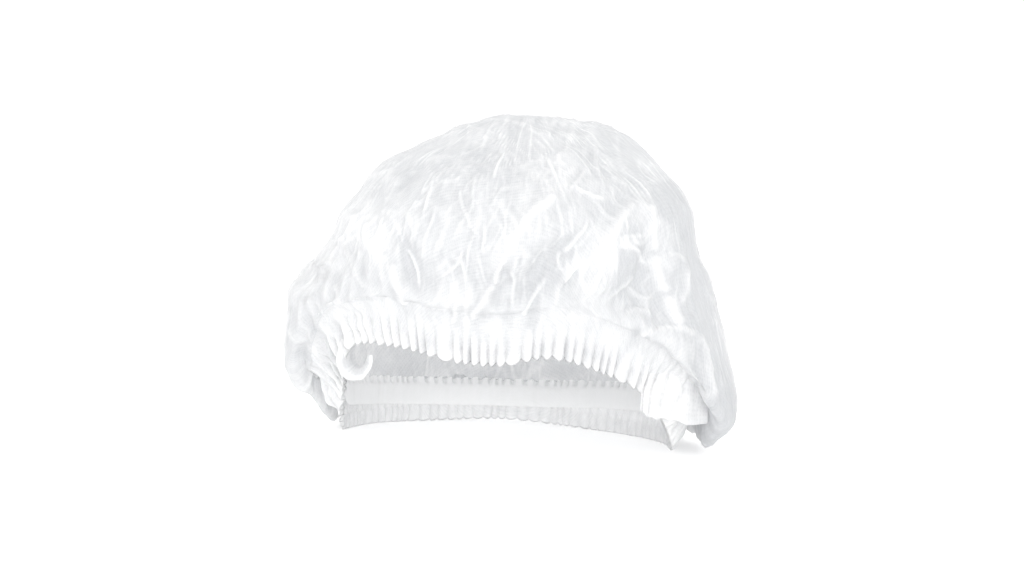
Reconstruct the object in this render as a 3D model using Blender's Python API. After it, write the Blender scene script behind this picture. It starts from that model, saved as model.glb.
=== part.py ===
"""Disposable hair cover cap: a puffed crown of thin nonwoven cloth, gathered into a pleated hem
with an elastic strip inside it, standing on the hem with its front edge raised.
Metres, +Z up, the front faces -Y, the origin is on the ground below the middle of the cap's box.
"""

import math
from collections import namedtuple

import bmesh
import bpy
from mathutils import Vector

# Sizes of the crown, measured from the middle of the head opening
CROWN_LEFT = 0.149
CROWN_RIGHT = 0.1455
CROWN_FRONT = 0.120
CROWN_BACK = 0.132
CAP_HEIGHT = 0.213
CROWN_WALL = 0.001
CROWN_SAG = 0.0115

# Sizes of the head opening, at the hem's lower edge
RIM_HALF_WIDTH = 0.112
RIM_HALF_DEPTH = 0.093
FRONT_LIFT = 0.064

# Sizes of the hem and of the elastic strip inside it
FRILL_HEIGHT = 0.018
STRIP_HEIGHT = 0.016
HEM_WALL = 0.0018
ELASTIC_WIDTH = 0.0145
STRIP_WALL = 0.001
PLEATS = 104
PLEAT_DEPTH = 0.0028
PLEAT_BUNCHING = 0.9

# Sizes of the sealed ends of the cloth, which show as a tab at each side of the opening
TAB_WALL = 0.0012
TAB_CURL = 0.008
TAB_PLEAT_DEPTH = 0.004
TAB_CLEARANCE = 0.0009
TAB_COLUMNS = 12
TAB_ROWS = 5

# How the pieces are set apart, and what is flattened by standing on a table
CLEARANCE = 0.0003
FLATTENED = 0.0006
CROWN_CENTRE_HEIGHT = 0.085

# The hem's lower edge, from the middle of the front round by the wearer's left, the viewer's right.
# side, depth: shares of RIM_HALF_WIDTH and RIM_HALF_DEPTH. lift: share of FRONT_LIFT.
# frill: share of FRILL_HEIGHT. splay: how far the hem leans outwards, from 0 upright to 1 flat.
# bunch: share of PLEAT_BUNCHING, the extra depth of the pleats where they crowd together.
# sag: share of CROWN_SAG, how far the crown sinks here beside the hem.
Station = namedtuple("Station", "side depth lift frill splay bunch sag")
RIM_STATIONS = [
    Station(-0.09, -0.94, 0.89, 1.00, 0.20, 0.0, 0.0),
    Station(0.20, -0.93, 0.98, 1.00, 0.20, 0.0, 0.0),
    Station(0.52, -0.83, 0.83, 1.00, 0.24, 0.1, 0.0),
    Station(0.75, -0.64, 0.60, 1.00, 0.30, 0.5, 0.2),
    Station(0.87, -0.40, 0.27, 1.00, 0.38, 1.0, 0.8),
    Station(0.93, -0.12, 0.00, 1.00, 0.20, 0.8, 1.0),
    Station(0.88, 0.32, 0.00, 1.00, 0.05, 0.3, 0.8),
    Station(0.63, 0.72, 0.00, 0.95, 0.00, 0.0, 0.2),
    Station(0.27, 0.95, 0.03, 0.65, 0.00, 0.0, 0.0),
    Station(-0.09, 1.00, 0.05, 0.50, 0.00, 0.0, 0.0),
    Station(-0.45, 0.90, 0.02, 0.60, 0.00, 0.0, 0.0),
    Station(-0.80, 0.60, 0.00, 0.75, 0.00, 0.1, 0.5),
    Station(-0.985, 0.10, 0.00, 0.90, 0.10, 0.6, 0.9),
    Station(-0.98, -0.20, 0.38, 1.00, 0.42, 1.0, 0.6),
    Station(-0.93, -0.46, 0.93, 1.00, 0.35, 1.0, 0.0),
    Station(-0.68, -0.72, 1.00, 1.00, 0.25, 0.2, 0.0),
    Station(-0.36, -0.88, 0.90, 1.00, 0.20, 0.0, 0.0),
]

# The crown's outline by height, a share of CAP_HEIGHT. The rest are shares of the crown's reach.
Section = namedtuple("Section", "height left right front back")
CROWN_SECTIONS = [
    Section(0.000, 0.80, 0.86, 0.80, 0.90),
    Section(0.050, 0.84, 0.925, 0.84, 0.94),
    Section(0.095, 0.885, 0.990, 0.86, 0.965),
    Section(0.142, 0.940, 1.000, 0.88, 0.98),
    Section(0.190, 0.986, 0.992, 0.90, 0.99),
    Section(0.270, 1.000, 0.965, 0.92, 1.00),
    Section(0.370, 0.997, 0.925, 0.95, 1.00),
    Section(0.445, 0.995, 0.895, 0.880, 0.99),
    Section(0.493, 0.949, 0.873, 0.868, 0.98),
    Section(0.545, 0.885, 0.845, 0.905, 0.965),
    Section(0.592, 0.830, 0.806, 0.948, 0.945),
    Section(0.668, 0.784, 0.766, 0.970, 0.89),
    Section(0.742, 0.716, 0.740, 0.905, 0.81),
    Section(0.815, 0.635, 0.665, 0.785, 0.70),
    Section(0.866, 0.540, 0.590, 0.650, 0.60),
    Section(0.915, 0.410, 0.526, 0.490, 0.475),
    Section(0.965, 0.243, 0.405, 0.29, 0.30),
    Section(0.990, 0.130, 0.250, 0.15, 0.16),
    Section(1.000, 0.010, 0.050, 0.01, 0.01),
]

# The crown's rings, from just above the hem to just below the top.
# low, high: the ring's height as a share of CAP_HEIGHT, where the rim stands on the table and
# where it is raised by FRONT_LIFT. puff: how far the ring has left the hem for the outline.
# fan: how evenly its columns are spread. sag: share of the rim's sag.
Level = namedtuple("Level", "low high puff fan sag")
CROWN_LEVELS = [
    Level(0.140, 0.460, 0.30, 0.05, 0.5),
    Level(0.090, 0.488, 0.62, 0.12, 1.0),
    Level(0.062, 0.520, 0.88, 0.22, 1.0),
    Level(0.080, 0.555, 1.00, 0.34, 0.9),
    Level(0.145, 0.592, 1.00, 0.46, 0.4),
    Level(0.240, 0.630, 1.00, 0.58, 0.1),
    Level(0.330, 0.672, 1.00, 0.70, 0.0),
    Level(0.425, 0.720, 1.00, 0.80, 0.0),
    Level(0.525, 0.772, 1.00, 0.90, 0.0),
    Level(0.625, 0.825, 1.00, 0.96, 0.0),
    Level(0.722, 0.876, 1.00, 1.00, 0.0),
    Level(0.815, 0.922, 1.00, 1.00, 0.0),
    Level(0.895, 0.958, 1.00, 1.00, 0.0),
    Level(0.955, 0.980, 1.00, 1.00, 0.0),
    Level(0.988, 0.994, 1.00, 1.00, 0.0),
]
SECTION_POWER = 2.25
FINE_LEVELS = 2
MIDDLE_LEVELS = 10
APEX_SIDE = 0.09
APEX_DEPTH = -0.02

# The sealed end tabs. first, last: where the tab is fixed along the hem's lower edge, as shares of
# the way round it. side, depth and lift, near and far: the free edge's two corners, as shares of
# RIM_HALF_WIDTH, RIM_HALF_DEPTH and FRONT_LIFT. curl: share of TAB_CURL. pleats: its folds.
Corner = namedtuple("Corner", "side depth lift")
Tab = namedtuple("Tab", "name first last near far curl pleats")
TABS = [
    Tab("end_tab_left", 0.778, 0.816, Corner(-0.92, -0.37, 0.56), Corner(-0.82, -0.47, 0.78), 1.0, 0),
    Tab("end_tab_right", 0.178, 0.244, Corner(0.72, -0.61, 0.34), Corner(0.82, -0.46, 0.20), 0.4, 3),
]

# The crown's main folds. They run up from the hem, seen from in front or from behind.
# from_side, to_side: shares of the crown's reach to that side. from_height, to_height: shares of
# CAP_HEIGHT. width: share of FOLD_WIDTH. depth: share of FOLD_DEPTH, below zero for a valley.
Fold = namedtuple("Fold", "face from_side from_height to_side to_height width depth")
FOLD_WIDTH = 0.0115
FOLD_DEPTH = 0.0075
FRONT, BACK = -1, 1
CROWN_FOLDS = [
    Fold(FRONT, -0.22, 0.40, 0.10, 0.74, 1.0, 1.0),
    Fold(FRONT, -0.10, 0.42, 0.20, 0.66, 0.9, -0.8),
    Fold(FRONT, -0.47, 0.40, -0.68, 0.64, 1.1, 0.9),
    Fold(FRONT, -0.36, 0.40, -0.50, 0.66, 0.9, -0.8),
    Fold(FRONT, 0.24, 0.42, 0.46, 0.74, 1.1, 1.0),
    Fold(FRONT, 0.38, 0.40, 0.60, 0.66, 0.9, -0.9),
    Fold(FRONT, 0.73, 0.36, 0.58, 0.74, 1.0, 1.0),
    Fold(FRONT, 0.88, 0.30, 0.76, 0.60, 1.0, -0.8),
    Fold(FRONT, -0.84, 0.36, -0.90, 0.50, 1.0, -0.8),
    Fold(FRONT, -0.28, 0.56, -0.34, 0.80, 0.8, 0.5),
    Fold(FRONT, 0.05, 0.74, 0.18, 0.88, 0.8, 0.5),
    Fold(BACK, -0.70, 0.14, -0.52, 0.55, 1.2, 1.0),
    Fold(BACK, -0.52, 0.12, -0.40, 0.50, 1.0, -0.9),
    Fold(BACK, -0.32, 0.14, -0.24, 0.66, 1.2, 0.9),
    Fold(BACK, -0.10, 0.12, -0.14, 0.52, 1.0, -0.9),
    Fold(BACK, 0.08, 0.14, 0.02, 0.62, 1.2, 1.0),
    Fold(BACK, 0.28, 0.12, 0.20, 0.50, 1.0, -0.9),
    Fold(BACK, 0.48, 0.14, 0.34, 0.66, 1.2, 0.9),
    Fold(BACK, 0.70, 0.12, 0.56, 0.50, 1.1, -0.9),
]

# Colour, roughness of each piece's material: white spunbond polypropylene and clear-white elastic
FINISHES = {
    "crown": ((0.93, 0.935, 0.94, 1.0), 0.75),
    "gathered_hem": ((0.97, 0.97, 0.97, 1.0), 0.70),
    "elastic_strip": ((0.90, 0.905, 0.91, 1.0), 0.55),
    "end_tab_left": ((0.97, 0.97, 0.97, 1.0), 0.70),
    "end_tab_right": ((0.97, 0.97, 0.97, 1.0), 0.70),
}

COLUMNS = 2 * PLEATS
SPLINE_SAMPLES = 1500
UP = Vector((0.0, 0.0, 1.0))

Column = namedtuple("Column", "foot lean outward lift frill bunch sag angle")


def mix(first, second, share):
    return first * (1.0 - share) + second * share


def smooth(share):
    """0 below 0, 1 above 1, and an even S between them."""
    held = min(max(share, 0.0), 1.0)
    return held * held * (3.0 - 2.0 * held)


def between(rows, place):
    """The closed Catmull-Rom curve through a table's rows, each column by itself. place runs from 0 to 1."""
    count = len(rows)
    whole = int(math.floor(place * count))
    part = place * count - whole
    before, first, second, after = (rows[(whole + step) % count] for step in (-1, 0, 1, 2))
    values = []
    for p, a, b, n in zip(before, first, second, after):
        bend = (2 * p - 5 * a + 4 * b - n) * part ** 2 + (3 * a - p - 3 * b + n) * part ** 3
        values.append(a + 0.5 * ((b - p) * part + bend))
    return type(first)(*values)


def foot_of(station):
    """The point that a station or a tab's corner stands for. It never goes below the table."""
    return Vector((
        station.side * RIM_HALF_WIDTH,
        station.depth * RIM_HALF_DEPTH,
        max(station.lift, 0.0) * FRONT_LIFT,
    ))


def rim_columns():
    """The rim cut into COLUMNS equal steps along the hem's lower edge."""
    places = [step / SPLINE_SAMPLES for step in range(SPLINE_SAMPLES + 1)]
    feet = [foot_of(between(RIM_STATIONS, place)) for place in places]
    along = [0.0]
    for before, after in zip(feet, feet[1:]):
        along.append(along[-1] + (after - before).length)
    columns = []
    sample = 0
    for number in range(COLUMNS):
        wanted = along[-1] * number / COLUMNS
        while along[sample + 1] < wanted:
            sample += 1
        part = (wanted - along[sample]) / (along[sample + 1] - along[sample])
        columns.append(column_at(mix(places[sample], places[sample + 1], part)))
    return columns


def column_at(place):
    """Where one column of the hem stands, which way it leans and which way it faces."""
    station = between(RIM_STATIONS, place)
    foot = foot_of(station)
    step = 1.0 / SPLINE_SAMPLES
    run = foot_of(between(RIM_STATIONS, place + step)) - foot_of(between(RIM_STATIONS, place - step))
    away = Vector((foot.x / RIM_HALF_WIDTH ** 2, foot.y / RIM_HALF_DEPTH ** 2, 0.0)).normalized()
    splay = min(max(station.splay, 0.0), 1.0)
    lean = (UP * (1.0 - splay) + away * splay).normalized()
    outward = run.normalized().cross(lean).normalized()
    return Column(
        foot,
        lean,
        outward,
        max(station.lift, 0.0),
        station.frill * FRILL_HEIGHT,
        min(max(station.bunch, 0.0), 1.0) * PLEAT_BUNCHING,
        max(station.sag, 0.0) * CROWN_SAG,
        math.atan2(foot.x / RIM_HALF_WIDTH, -foot.y / RIM_HALF_DEPTH),
    )


def pleat(number, column, share):
    """How far a pleat's ridge or valley stands off the hem's middle surface."""
    side = 1.0 if number % 2 else -1.0
    return column.outward * (side * 0.5 * PLEAT_DEPTH * share * (1.0 + column.bunch))


def hem_point(number, column, height, share):
    """A point of the pleated hem, at a height above the hem's lower edge along its lean."""
    return column.foot + column.lean * height + pleat(number, column, share)


def section_at(height):
    """The crown's outline at a height, from the table's rows above and below it."""
    rows = CROWN_SECTIONS
    above = next((n for n, row in enumerate(rows) if row.height >= height), len(rows) - 1)
    above = max(above, 1)
    lower, upper = rows[above - 1], rows[above]
    share = min(max((height - lower.height) / (upper.height - lower.height), 0.0), 1.0)
    return Section(*(mix(a, b, share) for a, b in zip(lower, upper)))


def section_reach(height, angle):
    """How far the crown lies from the middle, to the side and in depth, at an angle from the front."""
    section = section_at(height)
    side, ahead = math.sin(angle), math.cos(angle)
    across = section.right * CROWN_RIGHT if side > 0 else section.left * CROWN_LEFT
    deep = section.front * CROWN_FRONT if ahead > 0 else section.back * CROWN_BACK
    size = abs(side / across) ** SECTION_POWER + abs(ahead / deep) ** SECTION_POWER
    size **= -1.0 / SECTION_POWER
    return side * size, -ahead * size


def fold_depth(point):
    """How far the crown's main folds push a point outwards."""
    face = FRONT if point.y < 0 else BACK
    reach = CROWN_RIGHT if point.x > 0 else CROWN_LEFT
    depth = 0.0
    for fold in CROWN_FOLDS:
        if fold.face != face:
            continue
        share = (point.z / CAP_HEIGHT - fold.from_height) / (fold.to_height - fold.from_height)
        if not -0.35 < share < 1.35:
            continue
        middle = mix(fold.from_side, fold.to_side, share) * reach
        across = (point.x - middle) / (fold.width * FOLD_WIDTH)
        window = smooth((share + 0.35) / 0.5) * smooth((1.35 - share) / 0.6)
        depth += fold.depth * FOLD_DEPTH * window * math.exp(-across * across)
    return depth


def crown_point(number, column, level, start):
    """A point of the crown's outer surface. start is the angle of the first column."""
    even = start + 2.0 * math.pi * number / COLUMNS
    turn = (even - column.angle + math.pi) % (2.0 * math.pi) - math.pi
    angle = column.angle + turn * level.fan
    height = mix(level.low, level.high, column.lift)
    height -= level.sag * column.sag / CAP_HEIGHT
    side, depth = section_reach(height, angle)
    free = Vector((side, depth, height * CAP_HEIGHT))
    hem_top = column.frill + STRIP_HEIGHT + CLEARANCE
    held = column.foot + column.lean * (hem_top + 0.4 * STRIP_HEIGHT * level.puff)
    point = held.lerp(free, level.puff)
    point += pleat(number, column, 1.0) * (1.0 - level.puff)
    centre = Vector((0.0, 0.0, CROWN_CENTRE_HEIGHT))
    share = smooth((level.puff - 0.3) / 0.7)
    return point + (point - centre).normalized() * fold_depth(point) * share


def add_ring(mesh, points):
    return [mesh.verts.new(point) for point in points]


def join_rings(mesh, lower, upper):
    """Faces between two closed rings. The upper one has as many points as the lower one, or half as many."""
    count = len(lower)
    for n in range(len(upper)):
        after = (n + 1) % len(upper)
        if len(upper) == count:
            mesh.faces.new((lower[n], lower[after], upper[after], upper[n]))
            continue
        first, middle, last = lower[2 * n], lower[2 * n + 1], lower[(2 * n + 2) % count]
        mesh.faces.new((first, middle, upper[n]))
        mesh.faces.new((middle, upper[after], upper[n]))
        mesh.faces.new((middle, last, upper[after]))


def new_material(name):
    colour, roughness = FINISHES[name]
    material = bpy.data.materials.new(name)
    material.use_nodes = True
    shader = material.node_tree.nodes["Principled BSDF"]
    shader.inputs["Base Color"].default_value = colour
    shader.inputs["Roughness"].default_value = roughness
    shader.inputs["Metallic"].default_value = 0.0
    return material


def thicken(mesh, wall, edge):
    """Closes an open surface into a body with a wall on its inner side.

    edge gives the way outwards at vertices where the surface's own normal isn't wanted.
    """
    mesh.normal_update()
    faces = list(mesh.faces)
    borders = [side for side in mesh.edges if side.is_boundary]
    inner = {}
    for vertex in list(mesh.verts):
        outward = edge.get(vertex, vertex.normal)
        inner[vertex] = mesh.verts.new(vertex.co - outward * wall)
    for face in faces:
        mesh.faces.new([inner[vertex] for vertex in reversed(face.verts)])
    for side in borders:
        first, second = side.verts
        mesh.faces.new((first, second, inner[second], inner[first]))
    bmesh.ops.recalc_face_normals(mesh, faces=mesh.faces)


def finish(name, mesh):
    """Makes an object of a body, with the parts that stand on the table flattened."""
    for vertex in mesh.verts:
        if vertex.co.z < FLATTENED:
            vertex.co.z = 0.0
    data = bpy.data.meshes.new(name)
    mesh.to_mesh(data)
    mesh.free()
    data.materials.append(new_material(name))
    data.shade_smooth()
    data.set_sharp_from_angle(angle=math.radians(50))
    bpy.context.scene.collection.objects.link(bpy.data.objects.new(name, data))


def centre_pieces():
    """Moves the pieces so that the middle of the cap's box is over the origin."""
    vertices = [vertex for piece in bpy.data.objects for vertex in piece.data.vertices]
    for axis in (0, 1):
        places = [vertex.co[axis] for vertex in vertices]
        middle = 0.5 * (min(places) + max(places))
        for vertex in vertices:
            vertex.co[axis] -= middle


def build_hem(columns):
    """The pleated hem: the frill below the elastic, and the stretch that the elastic holds."""
    mesh = bmesh.new()
    rows = ((0.0, 0.0, 1.15), (0.5, 0.0, 1.0), (1.0, 0.0, 1.0), (1.0, 1.0, 1.0))
    rings = []
    edge = {}
    for frill, strip, share in rows:
        rings.append(add_ring(mesh, [
            hem_point(number, column, frill * column.frill + strip * STRIP_HEIGHT, share)
            for number, column in enumerate(columns)
        ]))
        edge.update(zip(rings[-1], (column.outward for column in columns)))
    for lower, upper in zip(rings, rings[1:]):
        join_rings(mesh, lower, upper)
    thicken(mesh, HEM_WALL, edge)
    finish("gathered_hem", mesh)


def build_crown(columns):
    """The puffed crown. Its pleats die out above the hem, and its columns merge by twos on the way up."""
    mesh = bmesh.new()
    start = columns[0].angle
    lowest = [
        hem_point(number, column, column.frill + STRIP_HEIGHT + CLEARANCE, 1.0)
        for number, column in enumerate(columns)
    ]
    rings = [add_ring(mesh, lowest)]
    for number, level in enumerate(CROWN_LEVELS):
        step = 1 if number < FINE_LEVELS else 2 if number < MIDDLE_LEVELS else 4
        rings.append(add_ring(mesh, [
            crown_point(at, columns[at], level, start) for at in range(0, COLUMNS, step)
        ]))
    for lower, upper in zip(rings, rings[1:]):
        join_rings(mesh, lower, upper)
    top = mesh.verts.new((APEX_SIDE * CROWN_RIGHT, APEX_DEPTH * CROWN_FRONT, CAP_HEIGHT))
    last = rings[-1]
    for n in range(len(last)):
        mesh.faces.new((last[n], last[(n + 1) % len(last)], top))
    thicken(mesh, CROWN_WALL, dict(zip(rings[0], (column.outward for column in columns))))
    finish("crown", mesh)


def strip_point(column, height):
    """A point of the elastic strip's outer face, clear of the valleys of the hem's pleats."""
    valley = 0.5 * PLEAT_DEPTH * (1.0 + column.bunch)
    return column.foot + column.lean * height - column.outward * (valley + HEM_WALL + CLEARANCE)


def build_strip(columns):
    """The elastic strip, a smooth closed band inside the hem, touching the pleats' valleys."""
    mesh = bmesh.new()
    valleys = columns[::2]
    lower = add_ring(mesh, [strip_point(column, column.frill) for column in valleys])
    upper = add_ring(mesh, [strip_point(column, column.frill + ELASTIC_WIDTH) for column in valleys])
    join_rings(mesh, lower, upper)
    outward = [column.outward for column in valleys]
    thicken(mesh, STRIP_WALL, dict(zip(lower + upper, outward + outward)))
    finish("elastic_strip", mesh)


def tab_point(tab, across, down):
    """A point of a sealed end tab. across runs along the hem, down from the hem to the free edge."""
    column = column_at(mix(tab.first, tab.last, across))
    inset = 0.5 * PLEAT_DEPTH * (1.0 + column.bunch) + HEM_WALL + TAB_CLEARANCE
    held = column.foot + column.lean * (0.25 * column.frill) - column.outward * inset
    free = foot_of(tab.near).lerp(foot_of(tab.far), across)
    point = held.lerp(free, down)
    point.y += tab.curl * TAB_CURL * math.sin(math.pi * down)
    fold = 0.5 - 0.5 * math.cos(2.0 * math.pi * tab.pleats * across)
    point.y += TAB_PLEAT_DEPTH * fold * down
    return point


def build_tab(tab):
    """One of the cloth's sealed ends, a small flap fixed to the hem's inner side."""
    mesh = bmesh.new()
    rows = []
    for row in range(TAB_ROWS + 1):
        points = [tab_point(tab, at / TAB_COLUMNS, row / TAB_ROWS) for at in range(TAB_COLUMNS + 1)]
        rows.append(add_ring(mesh, points))
    for upper, lower in zip(rows, rows[1:]):
        for at in range(TAB_COLUMNS):
            mesh.faces.new((upper[at], lower[at], lower[at + 1], upper[at + 1]))
    thicken(mesh, TAB_WALL, {})
    finish(tab.name, mesh)


def build():
    for old in list(bpy.data.objects):
        bpy.data.objects.remove(old)
    columns = rim_columns()
    build_crown(columns)
    build_hem(columns)
    build_strip(columns)
    for tab in TABS:
        build_tab(tab)
    centre_pieces()


build()
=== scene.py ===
import math

import bpy
import numpy as np
from mathutils import Matrix, Vector, noise


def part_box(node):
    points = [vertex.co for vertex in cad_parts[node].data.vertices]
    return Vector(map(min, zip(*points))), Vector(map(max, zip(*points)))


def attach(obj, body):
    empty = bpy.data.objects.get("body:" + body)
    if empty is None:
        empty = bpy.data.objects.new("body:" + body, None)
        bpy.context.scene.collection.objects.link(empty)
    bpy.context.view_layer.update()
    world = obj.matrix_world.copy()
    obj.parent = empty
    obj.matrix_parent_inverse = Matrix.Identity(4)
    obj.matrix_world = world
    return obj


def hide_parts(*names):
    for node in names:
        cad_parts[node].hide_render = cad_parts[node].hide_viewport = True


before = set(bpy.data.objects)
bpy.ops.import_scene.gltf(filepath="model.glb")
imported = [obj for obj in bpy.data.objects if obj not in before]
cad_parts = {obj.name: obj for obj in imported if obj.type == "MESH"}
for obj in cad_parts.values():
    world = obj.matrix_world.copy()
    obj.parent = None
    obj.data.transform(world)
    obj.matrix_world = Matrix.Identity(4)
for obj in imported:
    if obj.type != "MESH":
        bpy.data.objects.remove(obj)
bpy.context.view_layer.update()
print("frame:", ", ".join(sorted(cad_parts)))

# The cap's sizes in metres, as in the part's own source. The front is towards -Y.
cap = {
    "crownLeft": 0.149, "crownRight": 0.1455, "crownFront": 0.120, "crownBack": 0.132,
    "height": 0.213, "sag": 0.0115,
    "rimHalfWidth": 0.112, "rimHalfDepth": 0.093, "frontLift": 0.064,
    "frill": 0.018, "gathered": 0.016, "elastic": 0.0145, "hemWall": 0.0018, "gap": 0.0003,
    "pleats": 104, "pleatDepth": 0.0028, "bunching": 0.9, "roundness": 2.25,
}

# The hem's lower edge, from the middle of the front round by the viewer's right:
# side, depth, lift, frill, splay, bunch, sag, each a share of its size above
rimStations = np.array([
    (-0.09, -0.94, 0.89, 1.00, 0.20, 0.0, 0.0),
    (0.20, -0.93, 0.98, 1.00, 0.20, 0.0, 0.0),
    (0.52, -0.83, 0.83, 1.00, 0.24, 0.1, 0.0),
    (0.75, -0.64, 0.60, 1.00, 0.30, 0.5, 0.2),
    (0.87, -0.40, 0.27, 1.00, 0.38, 1.0, 0.8),
    (0.93, -0.12, 0.00, 1.00, 0.20, 0.8, 1.0),
    (0.88, 0.32, 0.00, 1.00, 0.05, 0.3, 0.8),
    (0.63, 0.72, 0.00, 0.95, 0.00, 0.0, 0.2),
    (0.27, 0.95, 0.03, 0.65, 0.00, 0.0, 0.0),
    (-0.09, 1.00, 0.05, 0.50, 0.00, 0.0, 0.0),
    (-0.45, 0.90, 0.02, 0.60, 0.00, 0.0, 0.0),
    (-0.80, 0.60, 0.00, 0.75, 0.00, 0.1, 0.5),
    (-0.985, 0.10, 0.00, 0.90, 0.10, 0.6, 0.9),
    (-0.98, -0.20, 0.38, 1.00, 0.42, 1.0, 0.6),
    (-0.93, -0.46, 0.93, 1.00, 0.35, 1.0, 0.0),
    (-0.68, -0.72, 1.00, 1.00, 0.25, 0.2, 0.0),
    (-0.36, -0.88, 0.90, 1.00, 0.20, 0.0, 0.0),
])

# The crown's outline: height, left, right, front, back
crownSections = np.array([
    (0.000, 0.80, 0.86, 0.80, 0.90),
    (0.050, 0.84, 0.925, 0.84, 0.94),
    (0.095, 0.885, 0.990, 0.86, 0.965),
    (0.142, 0.940, 1.000, 0.88, 0.98),
    (0.190, 0.986, 0.992, 0.90, 0.99),
    (0.270, 1.000, 0.965, 0.92, 1.00),
    (0.370, 0.997, 0.925, 0.95, 1.00),
    (0.445, 0.995, 0.895, 0.880, 0.99),
    (0.493, 0.949, 0.873, 0.868, 0.98),
    (0.545, 0.885, 0.845, 0.905, 0.965),
    (0.592, 0.830, 0.806, 0.948, 0.945),
    (0.668, 0.784, 0.766, 0.970, 0.89),
    (0.742, 0.716, 0.740, 0.905, 0.81),
    (0.815, 0.635, 0.665, 0.785, 0.70),
    (0.866, 0.540, 0.590, 0.650, 0.60),
    (0.915, 0.410, 0.526, 0.490, 0.475),
    (0.965, 0.243, 0.405, 0.29, 0.30),
    (0.990, 0.130, 0.250, 0.15, 0.16),
    (1.000, 0.010, 0.050, 0.01, 0.01),
])

# The crown from the hem to the top: low and high (heights where the rim stands and where it is
# raised), puff, fan, sag. The first row is the hem's top and the last one the crown's top.
crownLevels = np.array([
    (0.185, 0.440, 0.00, 0.00, 0.0),
    (0.140, 0.460, 0.30, 0.05, 0.5),
    (0.090, 0.488, 0.62, 0.12, 1.0),
    (0.062, 0.520, 0.88, 0.22, 1.0),
    (0.080, 0.555, 1.00, 0.34, 0.9),
    (0.145, 0.592, 1.00, 0.46, 0.4),
    (0.240, 0.630, 1.00, 0.58, 0.1),
    (0.330, 0.672, 1.00, 0.70, 0.0),
    (0.425, 0.720, 1.00, 0.80, 0.0),
    (0.525, 0.772, 1.00, 0.90, 0.0),
    (0.625, 0.825, 1.00, 0.96, 0.0),
    (0.722, 0.876, 1.00, 1.00, 0.0),
    (0.815, 0.922, 1.00, 1.00, 0.0),
    (0.895, 0.958, 1.00, 1.00, 0.0),
    (0.955, 0.980, 1.00, 1.00, 0.0),
    (0.988, 0.994, 1.00, 1.00, 0.0),
    (0.9995, 0.9995, 1.00, 1.00, 0.0),
])


# The camera, at the photograph's angle. Degrees, metres, and the lens and sensor in mm.
view = {
    "aim": (-0.003, -0.006, 0.1026), "distance": 1.491, "elevation": 3.2, "roll": 3.0,
    "lens": 80.0, "sensor": 36.0,
}


def makeCamera():
    data = bpy.data.cameras.new("camera")
    data.lens = view["lens"]
    data.sensor_width = view["sensor"]
    camera = bpy.data.objects.new("camera", data)
    bpy.context.scene.collection.objects.link(camera)
    tilt = math.radians(view["elevation"])
    back = Vector((0.0, -math.cos(tilt), math.sin(tilt)))
    place = Matrix.Translation(Vector(view["aim"]) + back * view["distance"])
    aim = (-back).to_track_quat("-Z", "Y").to_matrix().to_4x4()
    camera.matrix_world = place @ aim @ Matrix.Rotation(math.radians(view["roll"]), 4, "Z")
    bpy.context.scene.camera = camera
    return np.array(camera.matrix_world.inverted())


toCamera = makeCamera()
print("camera made")


def smooth(share):
    held = np.clip(share, 0.0, 1.0)
    return held * held * (3.0 - 2.0 * held)


def unit(vectors):
    return vectors / np.maximum(np.linalg.norm(vectors, axis=-1, keepdims=True), 1e-9)


def mix(first, second, share):
    return first * (1.0 - share) + second * share


def roundLoop(rows, place):  # the closed smooth curve through a table's rows
    spot = (place % 1.0) * len(rows)
    whole = np.floor(spot).astype(int)
    part = (spot - whole)[..., None]
    before, first, second, after = (rows[(whole + step) % len(rows)] for step in (-1, 0, 1, 2))
    bend = (2 * before - 5 * first + 4 * second - after) * part ** 2
    bend += (3 * first - before - 3 * second + after) * part ** 3
    return first + 0.5 * ((second - before) * part + bend)


def throughTable(places, values, wanted):  # the smooth curve through a table's column
    slopes = np.gradient(values, places)
    at = np.clip(np.searchsorted(places, wanted) - 1, 0, len(places) - 2)
    width = places[at + 1] - places[at]
    t = np.clip((wanted - places[at]) / width, 0.0, 1.0)
    ends = values[at] * (1 + 2 * t) * (1 - t) ** 2 + values[at + 1] * t * t * (3 - 2 * t)
    return ends + width * (slopes[at] * t * (1 - t) ** 2 - slopes[at + 1] * t * t * (1 - t))


def feetOf(stations):
    sizes = np.array([cap["rimHalfWidth"], cap["rimHalfDepth"], cap["frontLift"]])
    feet = stations[..., :3] * sizes
    feet[..., 2] = np.maximum(feet[..., 2], 0.0)
    return feet


def rimAt(shares):  # the hem at shares of its length: where it stands, leans and faces
    steps = 1500
    samples = np.linspace(0.0, 1.0, steps + 1)
    feet = feetOf(roundLoop(rimStations, samples))
    along = np.concatenate([[0.0], np.cumsum(np.linalg.norm(np.diff(feet, axis=0), axis=1))])
    place = np.interp(shares % 1.0, along / along[-1], samples)
    stations = roundLoop(rimStations, place)
    foot = feetOf(stations)
    ahead, behind = (feetOf(roundLoop(rimStations, place + move)) for move in (1 / steps, -1 / steps))
    half = np.array([cap["rimHalfWidth"], cap["rimHalfDepth"], 1.0])
    away = unit(foot / half ** 2 * (1, 1, 0))
    splay = np.clip(stations[:, 4:5], 0.0, 1.0)
    lean = unit(np.array([0, 0, 1.0]) * (1 - splay) + away * splay)
    return {
        "share": shares, "foot": foot, "lean": lean,
        "outward": unit(np.cross(unit(ahead - behind), lean)),
        "lift": np.maximum(stations[:, 2], 0.0),
        "frill": stations[:, 3] * cap["frill"],
        "bunch": np.clip(stations[:, 5], 0.0, 1.0) * cap["bunching"],
        "sag": np.maximum(stations[:, 6], 0.0) * cap["sag"],
        "angle": np.arctan2(foot[:, 0] / cap["rimHalfWidth"], -foot[:, 1] / cap["rimHalfDepth"]),
    }


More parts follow.
